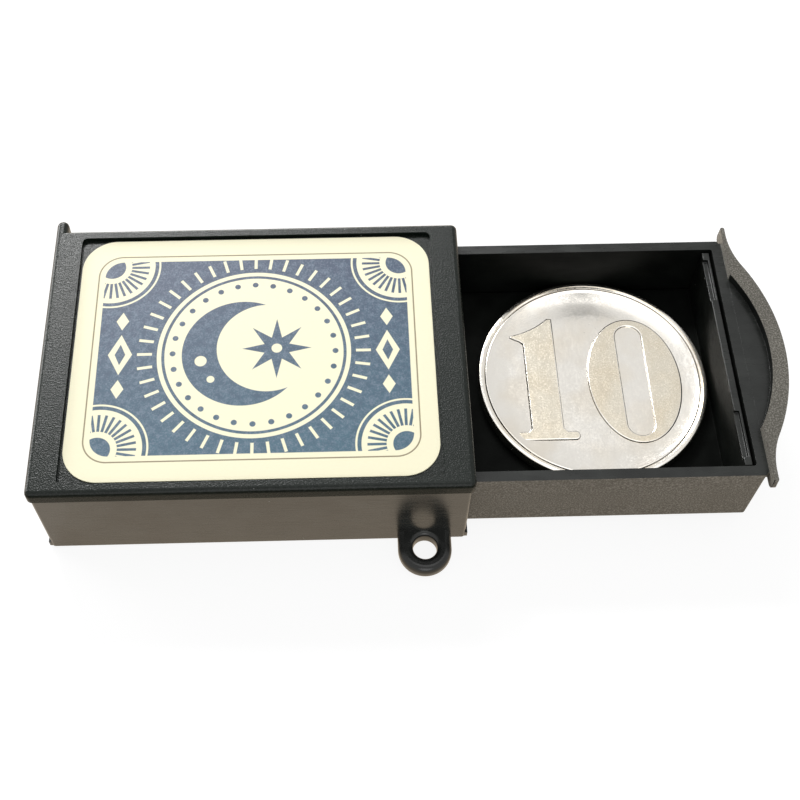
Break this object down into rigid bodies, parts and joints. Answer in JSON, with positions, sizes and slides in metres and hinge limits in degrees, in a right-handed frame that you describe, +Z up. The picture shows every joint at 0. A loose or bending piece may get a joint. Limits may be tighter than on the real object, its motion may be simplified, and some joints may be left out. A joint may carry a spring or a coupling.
{
  "type": "magic drawer box",
  "caption": "Pocket conjuring box: flat black sleeve with a bow-lipped drawer, a hidden inner slide and a plated play coin.",
  "frame": {"origin": "centre of the sleeve's underside, on the surface it rests on", "axes": "+X the way the drawer opens, +Y away from the side with the key loop, +Z up"},
  "size_m": [0.1058, 0.0512, 0.018],
  "materials": {
    "black_grained": "fine spark-eroded grain",
    "black_smooth": "smooth moulded",
    "label_card": "printed and varnished card",
    "plated_silver": "bright plated, finely scratched"
  },
  "bodies": {
    "sleeve": {"sleeve_base": "black_smooth", "sleeve_lid": "black_grained", "label": "label_card"},
    "drawer": {"drawer": "black_grained"},
    "slide": {"coin_slide": "black_smooth"},
    "coin": {"coin": "plated_silver"}
  },
  "joints": [
    {"name": "drawer_slide", "type": "slide", "parent": "sleeve", "child": "drawer", "axis": [1, 0, 0], "range_m": [-0.04, 0.006]},
    {"name": "coin_slide_run", "type": "slide", "parent": "drawer", "child": "slide", "axis": [1, 0, 0], "range_m": [-0.04, 0]},
    {"name": "coin_lift", "type": "slide", "parent": "slide", "child": "coin", "axis": [0, 0, 1], "range_m": [0, 0.008]}
  ]
}
